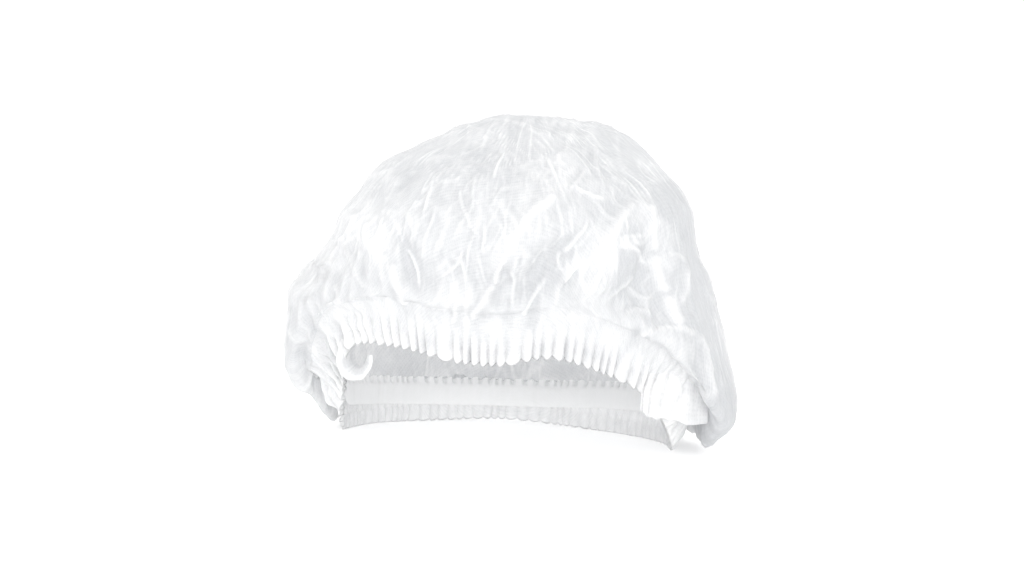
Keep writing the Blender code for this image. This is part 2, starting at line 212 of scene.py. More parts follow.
def stripFace(rim, height):  # the elastic strip's outer face, clear of the pleats' valleys
    inset = 0.5 * cap["pleatDepth"] * (1 + rim["bunch"]) + cap["hemWall"] + cap["gap"]
    return rim["foot"] + rim["lean"] * height[:, None] - rim["outward"] * inset[:, None]


def centreShift():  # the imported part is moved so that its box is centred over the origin
    rim = rimAt(np.arange(cap["pleats"]) / cap["pleats"])
    face = np.concatenate([stripFace(rim, rim["frill"] + add) for add in (0.0, cap["elastic"])])
    low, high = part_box("elastic_strip")
    shift = (np.array(low) + np.array(high)) / 2 - (face.min(0) + face.max(0)) / 2
    shift[2] = 0.0
    return shift


shift = centreShift()
print("shift of the packed part, mm:", np.round(shift * 1000, 2))


def field(points, size, seed):  # soft noise, one bump about size wide
    spots = points.reshape(-1, 3) / size + seed
    return np.array([noise.noise(spot) for spot in spots.tolist()]).reshape(points.shape[:-1])


def cells(points, size, seed, stretch):  # crumple cells: depth, nearness to a crease
    spots = points.reshape(-1, 3) * np.array(stretch) / size + seed
    found = [noise.voronoi(spot, distance_metric="DISTANCE")[0][:2] for spot in spots.tolist()]
    near, second = np.array(found).T
    shape = points.shape[:-1]
    return near.reshape(shape), (second - near).reshape(shape)


def ringPoints(turn, climb=0.0):  # places round the cap for soft noise that closes on itself
    return np.stack([np.cos(turn), np.sin(turn), 0 * turn + climb], -1)


def flatRing(turn, reach):  # the cloth's flat map in metres, as a round web
    return np.stack([np.cos(turn) * reach, np.sin(turn) * reach], -1)


def clothPiece(name, points, faces, flat, paleness):
    mesh = bpy.data.meshes.new(name)
    mesh.from_pydata(points.tolist(), [], faces)
    corners = np.empty(len(mesh.loops), int)
    mesh.loops.foreach_get("vertex_index", corners)
    mesh.uv_layers.new(name="cloth").data.foreach_set("uv", flat[corners].ravel())
    mesh.attributes.new("paleness", "FLOAT", "POINT").data.foreach_set("value", np.clip(paleness, 0, 1))
    mesh.shade_smooth()
    piece = bpy.data.objects.new(name, mesh)
    bpy.context.scene.collection.objects.link(piece)
    return piece


def ringCloth(name, grid, flatMap, paleness, top=None):
    # a piece from rows of points that run round the cap, closed over by one top point if it is given
    rows, columns = grid.shape[:2]
    index = np.arange(rows * columns).reshape(rows, columns)
    after = np.roll(index, -1, axis=1)
    faces = np.stack([index[:-1], after[:-1], after[1:], index[1:]], -1).reshape(-1, 4).tolist()
    points, flat, pale = grid.reshape(-1, 3), flatMap.reshape(-1, 2), paleness.reshape(-1)
    if top is not None:
        points = np.vstack([points, top])
        flat = np.vstack([flat, (0.0, 0.0)])
        pale = np.append(pale, pale[-columns:].mean())
        faces += [[a, b, len(points) - 1] for a, b in zip(index[-1].tolist(), after[-1].tolist())]
    return clothPiece(name, points, faces, flat, pale)


def surfaceArea(piece):
    return sum(face.area for face in piece.data.polygons)


def acrossNormals(grid):  # outward normals of a closed grid of rows
    along = np.roll(grid, -1, axis=1) - np.roll(grid, 1, axis=1)
    return unit(np.cross(unit(along), unit(np.gradient(grid, axis=0))))


# Pleats, shared by the hem and the foot of the crown. Drift shifts them along the hem: waves in the
# whole hem, start, size. The blends fill out the corner between the hem and the crown.
pleating = {
    "drift": ((11, 1.0, 1.0), (17, 2.2, 0.7), (29, 0.4, 0.45)), "uneven": 0.26, "roundness": 0.8,
    "extraDepth": 0.0008, "depthWaves": (7, 0.6, 23), "depthRange": 0.35, "scallop": 0.0008,
    "topShare": 0.12, "backShare": 0.8, "raisedFrom": 0.35,
    "gatherDepth": 0.0034, "gatherFade": 0.034, "gatherSize": 0.105,
    "blend": 0.0036, "sideBlend": 0.0080, "blendReach": 0.019,
}


def pleatWave(shares):  # from -1 in a pleat's valley to 1 on its ridge, with pleats of uneven width
    turn = 2 * math.pi * shares
    drift = sum(size * np.sin(waves * turn + start) for waves, start, size in pleating["drift"])
    wave = np.abs(np.sin(math.pi * (shares * cap["pleats"] + pleating["uneven"] * drift)))
    return 2 * wave ** pleating["roundness"] - 1  # round ribs with narrow gaps between them


def pleatOffset(rim):  # how far out of the hem's middle surface, never deeper inside than the solid
    turn = 2 * math.pi * rim["share"]
    waves, start, others = pleating["depthWaves"]
    uneven = 1.0 + pleating["depthRange"] * np.sin(waves * turn + start) * np.sin(others * turn)
    solid = 0.5 * cap["pleatDepth"] * (1 + rim["bunch"])
    reach = solid + 0.5 * pleating["extraDepth"] * uneven
    return pleatWave(rim["share"]) * reach + (reach - solid)


def raisedShare(rim):
    return smooth(rim["lift"] / pleating["raisedFrom"])


def topShare(rim):  # how much of the pleats' depth is left at the hem's top
    return mix(pleating["backShare"], pleating["topShare"], raisedShare(rim))


def gatherFields(turn, climb):  # folds that start at the hem and die out up the crown
    sway = 0.05 * field(ringPoints(turn, climb * 4.0), 0.35, 3.1)
    bent = ringPoints(turn + sway, climb * 3.0)
    return sway, 1.0 - 2.6 * np.abs(field(bent, pleating["gatherSize"], 7.7)), field(bent, 0.30, 1.9)


def gatherShare(climb):
    return (0.35 + 0.65 * smooth(climb / 0.012)) * np.exp(-climb / pleating["gatherFade"])


def joinBlend(rim, away):  # fills the corner between the raised hem and the crown, away from the join
    part = np.clip(1 - away / pleating["blendReach"], 0, 1) ** 2
    left = smooth((-rim["foot"][:, 0] / cap["rimHalfWidth"] - 0.54) / 0.3) * smooth(rim["bunch"] / 0.6)
    blend = pleating["blend"] * smooth(rim["lift"] / 0.5) * (1 - 0.6 * rim["bunch"])
    return part * (blend + pleating["sideBlend"] * left)


# How pale the cloth is, from 0 for the clear single web to 1 for cloth in close folds. Clouds: size,
# seed, share. The hem's pairs are a pleat's valley and what its ridge adds; the darker valleys are painted
# shade.
tones = {
    "web": 0.46, "clouds": ((0.045, 2.2, 0.14), (0.014, 4.4, 0.12)), "hemWeb": -0.08, "gathers": 0.26,
    "topLines": 0.10, "fineLines": 0.10, "streaks": 0.16, "lines": 0.30, "linesInFront": 0.12,
    "bends": 0.30, "bendRange": (-0.10, 0.25), "lowerFrontShade": -0.20, "left": 0.20, "creased": 0.30,
    "inside": (0.30, 0.60), "insideBunched": 0.95,
    "hemFront": (0.70, 0.24), "hemBunched": (0.96, 0.04), "hemBack": (0.78, 0.12), "hemUneven": 0.4,
}


def webTone(points):  # the single web, cloudy and uneven
    return tones["web"] + sum(share * field(points, size, seed) for size, seed, share in tones["clouds"])


def hemWebTone(points, gather):  # the same where the hem's gathers run into the web
    return webTone(points) + tones["hemWeb"] + tones["gathers"] * smooth(0.5 + 0.5 * gather)


def creaseTone(pale, creasePale):
    return np.maximum(pale, mix(tones["creased"], 1.0, creasePale))


def evenShares(count):  # more columns in front, where the photograph shows the cloth closely
    steps = np.linspace(0.0, 1.0, 4001)
    spread = steps + 0.2 / (2 * math.pi) * np.sin(2 * math.pi * steps)
    return np.interp(np.arange(count) / count, spread, steps)


# The crown: a thin puffed web with crumples, creases and folds that run up from the hem. Lines are
# threads round the cap (size, slant, seed). Streaks are threads across the front and the back (size,
# slant in degrees, share of the depth, seed).
crown = {
    "columns": 960, "rows": 103, "levelSteps": 400, "pleatFade": 0.013, "normalBlend": 0.014,
    "swellDepth": 0.0045, "swellFade": 0.12,
    "crumpleSize": 0.026, "crumpleDepth": 0.0022, "fineCrumpleSize": 0.011, "fineCrumpleDepth": 0.0006,
    "foldWidth": 0.0115, "foldDepth": 0.0075, "foldShare": 0.7,
    "lines": ((0.11, 1.5, 2.6), (0.10, -1.8, 6.1), (0.07, 0.4, 9.4), (0.13, 3.4, 12.7)),
    "lineHeight": 0.0009, "lineWidth": 0.075,
    "topWrinkle": 0.011, "topWrinkleHeight": 0.0008, "topCalm": 0.014,
    "streaks": ((0.0095, 22, 0.5, 1.1), (0.0075, -30, -0.5, 4.4), (0.012, 3, 1.0, 7.9)),
    "streakHeight": 0.0007, "streakWidth": 0.13, "sharpBend": 120.0,
    "lowest": 0.0008, "tuckDown": 0.0030, "tuckIn": 0.0012,
    "pictureScale": 0.000655, "focal": 2275.6,
}

# Main folds, in front (-1) and behind (1): face, from side, from height, to side, to height, width, depth
crownFolds = [
    (-1, -0.22, 0.40, 0.10, 0.74, 1.0, 1.0),
    (-1, -0.10, 0.42, 0.20, 0.66, 0.9, -0.8),
    (-1, -0.47, 0.40, -0.68, 0.64, 1.1, 0.9),
    (-1, -0.36, 0.40, -0.50, 0.66, 0.9, -0.8),
    (-1, 0.24, 0.42, 0.46, 0.74, 1.1, 1.0),
    (-1, 0.38, 0.40, 0.60, 0.66, 0.9, -0.9),
    (-1, 0.73, 0.36, 0.58, 0.74, 1.0, 1.0),
    (-1, 0.88, 0.30, 0.76, 0.60, 1.0, -0.8),
    (-1, -0.84, 0.36, -0.90, 0.50, 1.0, -0.8),
    (-1, -0.28, 0.56, -0.34, 0.80, 0.8, 0.5),
    (-1, 0.05, 0.74, 0.18, 0.88, 0.8, 0.5),
    (1, -0.70, 0.14, -0.52, 0.55, 1.2, 1.0),
    (1, -0.52, 0.12, -0.40, 0.50, 1.0, -0.9),
    (1, -0.32, 0.14, -0.24, 0.66, 1.2, 0.9),
    (1, -0.10, 0.12, -0.14, 0.52, 1.0, -0.9),
    (1, 0.08, 0.14, 0.02, 0.62, 1.2, 1.0),
    (1, 0.28, 0.12, 0.20, 0.50, 1.0, -0.9),
    (1, 0.48, 0.14, 0.34, 0.66, 1.2, 0.9),
    (1, 0.70, 0.12, 0.56, 0.50, 1.1, -0.9),
]

# Creases of the crown's front, in mm on the picture's plane: start x z, middle x z, end x z,
# width, height, and how pale the doubled cloth is there
crownCreases = [
    (-4, 85, -10, 75, -12, 66, 1.4, 0.9, 0.90),
    (23, 83, 26, 72, 30, 59, 1.6, 1.0, 1.00),
    (-33, 63, -31, 46, -20, 30, 1.4, 1.0, 0.80),
    (-24, 72, -25, 59, -26, 47, 1.6, 0.9, 0.60),
    (-50, 69, -54, 55, -57, 41, 2.0, 1.2, 0.70),
    (-60, 55, -67, 46, -72, 32, 2.2, 1.4, 0.55),
    (-94, 42, -92, 28, -78, 14, 4.0, 2.8, 1.00),
    (-78, 14, -74, 1, -66, -16, 5.0, 3.2, 0.95),
    (-71, 22, -64, 12, -60, -4, 1.4, 1.1, 0.80),
    (-58, 28, -58, 21, -60, 15, 1.4, 0.9, 0.60),
    (-31, 24, -37, 13, -47, 4, 1.6, 1.3, 0.90),
    (-11, 28, -18, 23, -24, 17, 1.7, 1.0, 0.60),
    (29, 55, 10, 40, -6, 22, 5.6, 3.6, 1.00),
    (-6, 22, -9, 9, -10, 1, 3.6, 3.2, 0.95),
    (-10, 1, -18, -10, -28, -25, 4.0, 2.8, 0.95),
    (1, 14, 1, -3, -1, -16, 2.6, 1.8, 0.70),
    (22, 3, 12, -11, 5, -22, 1.4, 1.2, 0.85),
    (-37, 4, -35, -11, -41, -28, 3.9, 2.6, 0.80),
    (-45, -6, -51, -15, -56, -25, 3.9, 1.6, 0.35),
    (-9, 59, 0, 63, 18, 62, 1.3, 0.7, 0.45),
    (51, 76, 43, 66, 35, 57, 2.1, 1.4, 0.80),
    (40, 63, 50, 58, 64, 54, 1.8, 1.3, 1.00),
    (56, 92, 56, 74, 62, 59, 2.0, 1.2, 0.50),
    (69, 67, 73, 65, 77, 62, 1.3, 0.7, 0.60),
    (91, 70, 91, 66, 92, 63, 1.4, 0.8, 0.80),
    (88, 51, 90, 35, 95, 21, 4.0, 2.6, 1.00),
    (95, 21, 94, 8, 100, -6, 4.2, 2.6, 0.95),
    (100, -6, 102, -19, 109, -30, 5.0, 3.0, 1.00),
    (64, 27, 75, 30, 87, 30, 1.3, 0.9, 0.70),
    (64, 26, 76, 27, 87, 25, 1.3, 0.9, 0.65),
    (65, 25, 80, 22, 90, 11, 2.1, 1.4, 0.75),
    (78, 52, 66, 38, 56, 23, 5.0, 3.0, 0.80),
    (56, 23, 52, 6, 43, -12, 6.5, 3.2, 0.70),
    (45, 17, 37, 6, 31, 0, 1.4, 1.6, 1.00),
    (60, 12, 58, 2, 54, -7, 1.7, 1.4, 0.50),
    (50, 44, 43, 29, 33, 21, 2.1, 1.5, 0.75),
    (33, 21, 30, 14, 37, 6, 1.6, 1.1, 0.70),
    (38, 50, 38, 43, 39, 35, 1.2, 0.6, 0.50),
    (81, 4, 69, -4, 56, -13, 2.1, 1.5, 0.55),
    (75, -1, 84, -8, 93, -6, 1.7, 1.1, 0.55),
    (112, 12, 109, -4, 105, -16, 3.3, 2.2, 0.50),
    (96, 17, 103, 19, 111, 13, 1.6, 0.9, 0.60),
    (69, -28, 79, -17, 94, -22, 2.0, 1.4, 0.50),
    (80, -32, 100, -30, 120, -34, 2.0, 1.6, 0.80),
    (120, -34, 127, -45, 130, -61, 2.1, 1.8, 0.60),
    (125, -37, 128, -55, 131, -76, 2.9, 1.8, 0.55),
    (-139, 14, -124, 10, -113, 1, 2.0, 1.2, 0.40),
    (-141, -11, -127, -11, -114, -15, 2.0, 1.2, 0.50),
    (-109, 31, -105, 14, -93, -4, 2.6, 1.6, 0.60),
    (-119, -1, -109, -6, -98, -11, 1.7, 1.0, 0.65),
]


def crownBase(rim, spots):  # the crown without pleats or creases, a row for each spot in the levels
    places = np.arange(len(crownLevels))
    low, high, puff, fan, sag = (throughTable(places, crownLevels[:, n], spots)[:, None] for n in range(5))
    puff = np.clip(puff, 0.0, 1.0)
    even = rim["angle"][0] + 2 * math.pi * rim["share"]
    turn = (even - rim["angle"] + math.pi) % (2 * math.pi) - math.pi
    angle = rim["angle"] + turn * np.clip(fan, 0.0, 1.0)
    height = mix(low, high, rim["lift"]) - sag * rim["sag"] / cap["height"]
    height = np.clip(height, 0.0, 0.99999)
    left, right, front, back = (
        throughTable(crownSections[:, 0], crownSections[:, n], height) for n in (1, 2, 3, 4))
    side, ahead = np.sin(angle), np.cos(angle)
    across = np.where(side > 0, right * cap["crownRight"], left * cap["crownLeft"])
    deep = np.where(ahead > 0, front * cap["crownFront"], back * cap["crownBack"])
    power = cap["roundness"]
    size = (np.abs(side / across) ** power + np.abs(ahead / deep) ** power) ** (-1.0 / power)
    free = np.stack([side * size, -ahead * size, height * cap["height"]], -1)
    hemTop = rim["frill"] + cap["gathered"]
    climb = hemTop + 0.4 * cap["gathered"] * puff
    held = rim["foot"] + rim["lean"] * climb[..., None]
    return mix(held, free, puff[..., None]), puff


def mainFolds(points):
    reach = np.where(points[..., 0] > 0, cap["crownRight"], cap["crownLeft"])
    face = np.where(points[..., 1] < 0, -1, 1)
    depth = np.zeros(points.shape[:-1])
    for side, fromSide, fromHeight, toSide, toHeight, width, height in crownFolds:
        share = (points[..., 2] / cap["height"] - fromHeight) / (toHeight - fromHeight)
        across = (points[..., 0] - mix(fromSide, toSide, share) * reach) / (width * crown["foldWidth"])
        window = smooth((share + 0.35) / 0.5) * smooth((1.35 - share) / 0.6) * (face == side)
        depth += height * crown["foldDepth"] * window * np.exp(-across ** 2)
    return depth


def pictureSpots(points):  # where the camera sees points, in metres on the picture's plane
    flat = points.reshape(-1, 3) @ toCamera[:3, :3].T + toCamera[:3, 3]
    scale = crown["focal"] * crown["pictureScale"]
    spots = np.stack([flat[:, 0] / -flat[:, 2], flat[:, 1] / -flat[:, 2]], -1) * scale
    return spots.reshape(points.shape[:-1] + (2,))


# Broad pale (above zero) and clear (below zero) areas of the front, on the same plane in mm:
# middle x z, half width, half height, lean in degrees, paleness
crownPatches = [
    (55, 14, 8, 22, -12, 0.20),
    (100, -44, 20, 9, -8, 0.15),
    (-37, -14, 9, 16, 8, 0.40),
    (2, -10, 6, 15, -6, 0.15),
    (-15, -22, 14, 8, 0, -0.20),
    (40, -24, 12, 8, 0, -0.20),
    (-4, 34, 5, 24, -32, 0.30),
    (-74, 8, 6, 26, 20, 0.25),
    (76, 13, 11, 15, 0, -0.80),
    (37, 23, 5, 9, -10, -0.35),
    (15, -4, 7, 13, -8, -0.28),
    (114, 12, 10, 46, 7, -0.38),
    (134, -86, 9, 15, -15, -0.60),
    (100, 52, 8, 18, 12, -0.20),
    (-65, 8, 8, 16, 20, -0.38),
    (-106, -6, 10, 7, 0, -0.35),
    (25, 10, 8, 16, -15, -0.28),
    (-10, 78, 30, 10, 0, -0.12),
    (-118, 8, 18, 14, 20, 0.08),
    (-86, 38, 20, 14, 40, 0.14),
]


# How the creases and patches are drawn. The sways shift their outlines by chance (how far, and the
# size of a sway). A crease has tapered ends, shallow valleys along it, and a pale band with a crisp
# core. The front's share fades out where the cloth turns away and behind a depth. Metres.
drawing = {
    "patchSway": 0.009, "patchSwaySize": 0.03, "patchEdge": 1.6, "sway": 0.0016, "swaySize": 0.011,
    "steps": 9, "taper": 0.006, "finest": 0.0016, "valley": 0.4,
    "band": 0.66, "core": 0.34, "coreWidth": 0.0009,
    "turnedFrom": -0.05, "turnedRange": 0.3, "frontTo": 0.030, "frontFade": 0.055,
}


def swayed(points, far, size, seeds):
    return pictureSpots(points) + far * np.stack([field(points, size, seed) for seed in seeds], -1)


def patchField(points, facing):
    spots = 1000.0 * swayed(points, drawing["patchSway"], drawing["patchSwaySize"], (1.7, 8.3))
    total = np.zeros(points.shape[:-1])
    for x, z, wide, tall, lean, pale in crownPatches:
        away = spots - (x, z)
        turned = math.radians(lean)
        across = (away[..., 0] * math.cos(turned) + away[..., 1] * math.sin(turned)) / wide
        along = (away[..., 1] * math.cos(turned) - away[..., 0] * math.sin(turned)) / tall
        total += pale * smooth(drawing["patchEdge"] - np.hypot(across, along)) * facing
    return total


def frontShare(points, normals):  # 1 where the cloth faces the picture, fading out round the sides
    seen = np.array(bpy.context.scene.camera.matrix_world.translation) - points
    towards = np.sum(unit(seen) * normals, -1)
    turned = smooth((towards - drawing["turnedFrom"]) / drawing["turnedRange"])
    return turned * smooth((drawing["frontTo"] - points[..., 1]) / drawing["frontFade"])


def creaseFields(points, facing):  # how far the creases lift the cloth, and how pale they make it
    spots = swayed(points, drawing["sway"], drawing["swaySize"], (4.9, 7.1))
    lift = np.zeros(points.shape[:-1])
    pale = np.zeros(points.shape[:-1])
    t = np.linspace(0.0, 1.0, drawing["steps"])[:, None]
    for row in crownCreases:
        x0, z0, x1, z1, x2, z2, width, height, white = np.array(row) / 1000.0
        start, middle, end = np.array([x0, z0]), np.array([x1, z1]), np.array([x2, z2])
        pull = 2 * middle - (start + end) / 2
        line = start * (1 - t) ** 2 + 2 * pull * t * (1 - t) + end * t * t
        margin = 3.5 * width + 0.004
        near = (spots >= line.min(0) - margin).all(-1) & (spots <= line.max(0) + margin).all(-1)
        near &= facing > 0.01
        local = spots[near]
        best = np.full(len(local), 1.0)
        along = np.zeros(len(local))
        for n, (a, b) in enumerate(zip(line[:-1], line[1:])):
            run = b - a
            part = np.clip(((local - a) @ run) / (run @ run), 0.0, 1.0)
            away = np.linalg.norm(local - a - part[:, None] * run, axis=1)
            closer = away < best
            best = np.where(closer, away, best)
            along = np.where(closer, (n + part) / (len(line) - 1), along)
        length = np.linalg.norm(np.diff(line, axis=0), axis=1).sum()
        taper = smooth((along * length + 0.001) / drawing["taper"])
        taper *= smooth(((1 - along) * length + 0.001) / drawing["taper"])
        across = best / max(width, drawing["finest"])
        valley = drawing["valley"] * np.exp(-((across - 1.7) / 0.7) ** 2)
        tent = np.clip(1 - across, 0, 1) ** 1.15 - valley
        lift[near] += height * tent * taper
        band = smooth(1.25 - 0.8 * best / (0.6 * width + 0.0003))
        core = np.clip(1.3 - best / drawing["coreWidth"], 0, 1)
        glow = white * 1000.0 * (drawing["band"] * band + drawing["core"] * core) * taper
        pale[near] = np.maximum(pale[near], glow)
    return lift * facing, pale * facing


def crownLines(turn, climb, sway, topReach):
    lines = np.zeros(climb.shape)
    for size, slant, seed in crown["lines"]:
        around = ringPoints(turn + slant * climb + 0.6 * sway, climb * 2.2)
        thread = np.abs(field(around, size, seed))
        part = smooth(3.0 * field(around * (1, 1, 2.2), 0.30, seed + 5.0) - 0.1)
        part *= smooth(topReach / 0.15 - 0.25)
        lines = np.maximum(lines, np.clip(1.15 - thread / crown["lineWidth"], 0, 1) * part)
    return lines


def crownTopLines(base):
    across = np.abs(field(base * (1.0, 0.12, 0.15), crown["topWrinkle"], 6.6))
    return np.clip(1.0 - across / 0.22, 0, 1) * smooth((base[..., 2] / cap["height"] - 0.83) / 0.12)


def crownStreaks(base):
    streaks = np.zeros(base.shape[:-1])
    for size, slant, depth, seed in crown["streaks"]:
        side = base[..., 0] + depth * base[..., 1]
        turned = math.radians(slant)
        across = side * math.cos(turned) + base[..., 2] * math.sin(turned)
        along = base[..., 2] * math.cos(turned) - side * math.sin(turned)
        run = np.stack([across, along * 0.24, 0.2 * base[..., 1]], -1)
        run[..., 0] += 0.3 * size * field(base, 0.03, seed + 2.0)
        thread = np.clip(1.0 - np.abs(field(run, size, seed)) / crown["streakWidth"], 0, 1)
        streaks = np.maximum(streaks, thread * smooth(3.0 * field(base, 0.028, seed + 4.0) + 0.35))
    return streaks


def climbOf(grid):  # how far up the cloth each point is from the first row
    steps = np.linalg.norm(np.diff(grid, axis=0), axis=2)
    return np.concatenate([np.zeros((1, grid.shape[1])), np.cumsum(steps, axis=0)])


def buildCrown():
    rim = rimAt(evenShares(crown["columns"]))
    levels = np.linspace(0.0, len(crownLevels) - 1, crown["levelSteps"])
    along = climbOf(crownBase(rim, levels)[0]).mean(1)
    spots = np.interp(np.linspace(0.0, 0.995, crown["rows"]), along / along[-1], levels)
    base, puff = crownBase(rim, spots)
    climb = climbOf(base)
    normals = unit(mix(rim["outward"], acrossNormals(base), smooth(climb / crown["normalBlend"])[..., None]))
    turn = 2 * math.pi * rim["share"] + np.zeros_like(climb)
    sway, gather, swell = gatherFields(turn, climb)
    topReach = climb[-1] - climb
    tall = base[..., 2] / cap["height"]
    facing = frontShare(base, normals)
    free = smooth(climb / 0.03)

    near = cells(base, crown["crumpleSize"], 5.3, (1.15, 1.15, 0.62))[0]
    fineNear, fineCrease = cells(base, crown["fineCrumpleSize"], 9.1, (1.1, 1.1, 0.7))
    lines = crownLines(turn, climb, sway, topReach)
    topLines = crownTopLines(base)
    streaks = crownStreaks(base)

    offset = pleatOffset(rim) * topShare(rim) * np.exp(-(climb / crown["pleatFade"]) ** 1.5)
    offset += pleating["gatherDepth"] * gather * gatherShare(climb) + joinBlend(rim, climb)
    swelling = np.exp(-climb / crown["swellFade"]) * smooth(topReach / 0.09)
    offset += crown["swellDepth"] * swell * free * swelling
    offset += crown["crumpleDepth"] * (0.9 - 1.6 * near) * free * mix(1.0, 0.7, smooth((tall - 0.8) / 0.2))
    offset += crown["fineCrumpleDepth"] * (0.5 - fineNear) * free
    offset += crown["foldShare"] * mainFolds(base) * smooth((puff - 0.3) / 0.7)
    offset += crown["lineHeight"] * lines * free * mix(1.0, 0.55, facing)
    offset += crown["topWrinkleHeight"] * topLines + crown["streakHeight"] * streaks * free
    offset *= smooth(topReach / crown["topCalm"])
    bend = curvature(base + normals * offset[..., None])
    lift, creasePale = creaseFields(base + shift, facing)
    grid = base + normals * (offset + lift)[..., None] + shift
    grid[..., 2] = np.maximum(grid[..., 2], crown["lowest"])

    fineLines = np.clip(1 - fineCrease / 0.16, 0, 1) * smooth(0.4 + 2.0 * field(base, 0.04, 3.8))
    pale = webTone(base) + tones["topLines"] * topLines + tones["fineLines"] * fineLines
    pale += (tones["streaks"] * streaks + mix(tones["lines"], tones["linesInFront"], facing) * lines) * free
    pale += np.clip(bend * tones["bends"], *tones["bendRange"]) + patchField(base + shift, facing)
    # painted shade: the crown's lower front, which the lamp and the floor light most, drawn darker
    pale += tones["lowerFrontShade"] * facing * smooth((0.62 - tall) / 0.15)
    pale += tones["left"] * smooth((-0.080 - base[..., 0]) / 0.05)  # painted light: the left side, which lies in the lamp's shade, drawn paler
    raised = raisedShare(rim)
    pale = mix(pale, hemWebTone(base, gather), np.exp(-(climb / 0.020) ** 1.4) * raised)
    pale = creaseTone(pale, creasePale)
    valley, ridge = tones["inside"]
    inside = valley + ridge * smooth(-1.4 * pleatWave(rim["share"]))  # ridges towards the inside, with the valleys between them drawn darker as painted shade
    inside = mix(inside, tones["insideBunched"], smooth(rim["bunch"] / cap["bunching"]))
    pale = mix(pale, inside, np.exp(-(climb / 0.006) ** 2) * (1 - raised))

    flatMap = flatRing(turn, climb[-1].mean() - climb)
    # the lowest row goes a little way down inside the hem, so that no gap shows between the two
    tucked = grid[0] - crown["tuckDown"] * rim["lean"] - crown["tuckIn"] * rim["outward"]
    grid, pale, flatMap = (np.concatenate([low[None], rows]) for low, rows in (
        (tucked, grid), (pale[0], pale), (flatMap[0] * 1.012, flatMap)))
    return ringCloth("crown_cloth", grid, flatMap, pale, grid[-1].mean(0)), climb[-1].mean()


def curvature(grid):  # how sharply the cloth bends outwards, about 1 on a crisp ridge
    normals = acrossNormals(grid)
    left, right = np.roll(grid, 1, axis=1), np.roll(grid, -1, axis=1)
    width = np.linalg.norm(right - left, axis=-1) + 1e-5
    bend = np.sum((2 * grid - left - right) * normals, -1) / width ** 2
    below, above = np.roll(grid, 1, axis=0), np.roll(grid, -1, axis=0)
    height = np.linalg.norm(above - below, axis=-1) + 1e-5
    rise = np.sum((2 * grid - below - above) * normals, -1) / height ** 2
    rise[0] = rise[-1] = 0.0
    both = (bend + rise) / crown["sharpBend"]
    for _ in range(2):
        both = (np.roll(both, 1, axis=1) + 2 * both + np.roll(both, -1, axis=1)) / 4
        both[1:-1] = (both[:-2] + 2 * both[1:-1] + both[2:]) / 4
    return both


crownCloth, crownReach = buildCrown()
print("crown cloth:", len(crownCloth.data.polygons), "faces, area", round(surfaceArea(crownCloth), 4))


# The gathered hem: the doubled edge, pleated all round, folded under at its lower edge. The bunched
# cloth at the sides is crumpled and stands out in fingers.
hem = {
    "columns": 1456, "outerRows": 22, "innerRows": 8, "innerHeight": 0.010, "doubling": 0.0011,
    "crumple": 0.0026, "fingers": 0.0042, "backDepth": 0.4, "lowest": 0.0002,
}


def hemBunches(spots, part, bunched):
    folds = 0.5 - 2.2 * np.abs(field(spots, 0.13, 4.2)) + 0.6 * field(spots, 0.05, 9.3)
    finger = np.clip(0.15 + 2.0 * field(spots, 0.12, 11.3), 0, 1)
    out = hem["crumple"] * bunched * folds * smooth(part / 0.15) * smooth((1 - part) / 0.2)
    return out + hem["fingers"] * bunched * finger * smooth(part / 0.35) * smooth((1 - part) / 0.25)


def buildHem():
    rim = rimAt(evenShares(hem["columns"]))
    turn = 2 * math.pi * rim["share"]
    wave = pleatWave(rim["share"])
    ridge = 0.5 + 0.5 * wave
    offset = pleatOffset(rim)
    whole = rim["frill"] + cap["gathered"]
    soft = field(ringPoints(turn), 0.12, 6.5)
    uneven = field(ringPoints(turn), 0.035, 8.5)
    gather = gatherFields(turn, 0 * turn)[1]
    raised = raisedShare(rim)
    bunched = smooth(rim["bunch"] / cap["bunching"])
    rows, flat, pale = [], [], []
    for n in range(hem["innerRows"] + hem["outerRows"] + 1):
        inner = n < hem["innerRows"]
        part = 1 - n / hem["innerRows"] if inner else (n - hem["innerRows"]) / hem["outerRows"]
        height = part * (hem["innerHeight"] if inner else whole)
        edge = 1 - math.sqrt(1 - (1 - min(part * (1 if inner else 4), 1)) ** 2)  # the round lower fold
        share = (1.0 + 0.18 * (1 - part) * soft) * mix(hem["backDepth"], 1.0, raised)
        if inner:
            out = offset * share - hem["doubling"] * (1 - 0.5 * edge)
        else:
            share *= mix(1.0, topShare(rim), smooth((part - 0.24) / 0.45))
            out = offset * share - 0.5 * hem["doubling"] * edge
            out += pleating["gatherDepth"] * gather * gatherShare(0.0) * smooth((part - 0.3) / 0.7)
            out += joinBlend(rim, whole - height)
            out += hemBunches(ringPoints(turn, height * 7.0), part, bunched)
        rise = np.zeros_like(turn) + height
        point = rim["foot"] + rim["lean"] * rise[:, None] + rim["outward"] * out[:, None]
        point[:, 2] -= pleating["scallop"] * wave * (1 - part) ** 3
        rows.append(point)
        flat.append(flatRing(turn, crownReach + whole + (height if inner else -height)))
        # painted shade: each pleat's valley drawn darker than its ridge
        front, close, back = (
            tones[name][0] + tones[name][1] * ridge for name in ("hemFront", "hemBunched", "hemBack"))
        front = mix(front + tones["hemUneven"] * uneven, close, bunched)
        upward = smooth((part + 0.10 * gather + 0.5 * uneven - 0.18) / 0.42)
        front = mix(front, hemWebTone(point, gather), (1 - 0.4 * bunched) * upward)
        pale.append(mix(back, front, np.maximum(raised, 0.9 * bunched)))
    grid, pale = np.array(rows) + shift, np.array(pale)
    outer = slice(hem["innerRows"], None)
    facing = frontShare(grid[outer], rim["outward"]) * smooth(rim["lift"] / 0.3)
    lift, creasePale = creaseFields(grid[outer], facing)
    grid[outer] += rim["outward"] * lift[..., None]
    pale[outer] = creaseTone(pale[outer], creasePale)
    grid[..., 2] = np.maximum(grid[..., 2], hem["lowest"])
    return ringCloth("gathered_hem_cloth", grid, np.array(flat), pale)


hemCloth = buildHem()
print("hem:", len(hemCloth.data.polygons), "faces, area", round(surfaceArea(hemCloth), 4))


